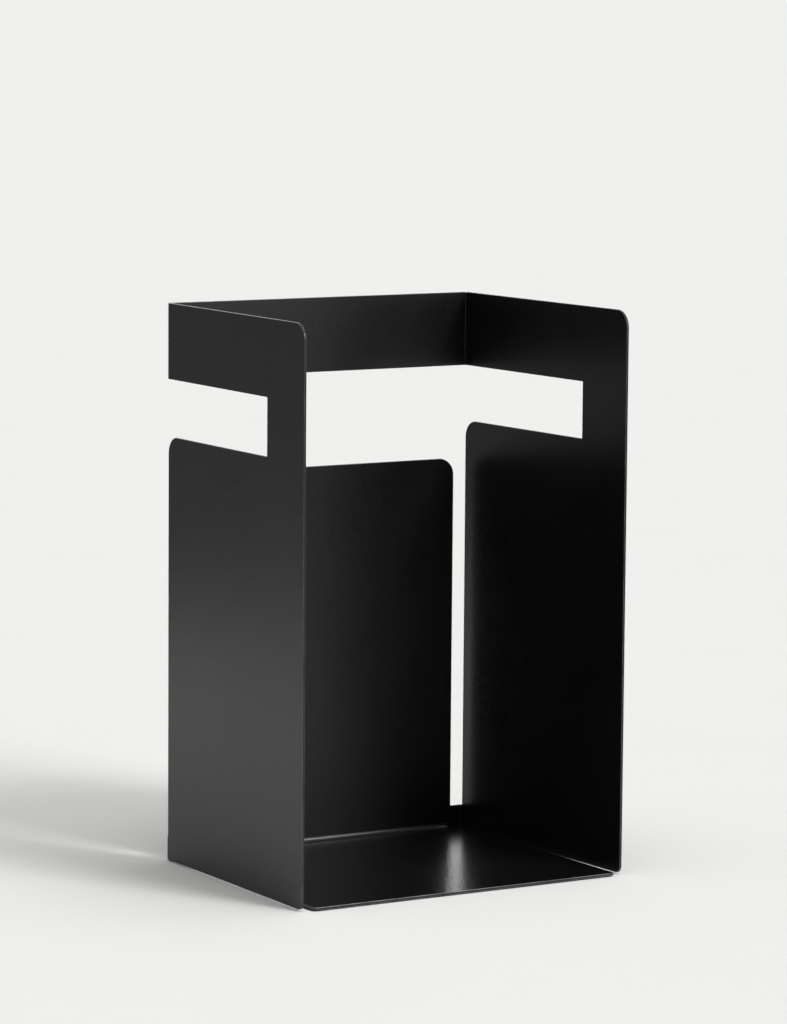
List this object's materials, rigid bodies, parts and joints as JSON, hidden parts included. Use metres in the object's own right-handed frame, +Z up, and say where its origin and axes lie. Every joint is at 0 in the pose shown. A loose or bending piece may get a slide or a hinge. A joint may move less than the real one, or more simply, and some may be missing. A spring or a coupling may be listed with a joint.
{
  "type": "umbrella stand",
  "caption": "Box-shaped umbrella stand of folded black sheet steel, open at the top and front, with a window round the back and sides.",
  "frame": {"origin": "on the floor, under the middle of the stand's bounding box", "axes": "+Z up, -Y out of the open front, +X to the right of someone who looks into the open front"},
  "size_m": [0.295, 0.232, 0.45],
  "materials": {
    "powder_coat": "satin black powder coat",
    "pad": "matt"
  },
  "bodies": {
    "root": {"folded_wall": "powder_coat", "base_plate": "powder_coat", "base_weld": "powder_coat", "pad_front_left": "pad", "pad_front_right": "pad", "pad_back_left": "pad", "pad_back_right": "pad"}
  },
  "joints": []
}
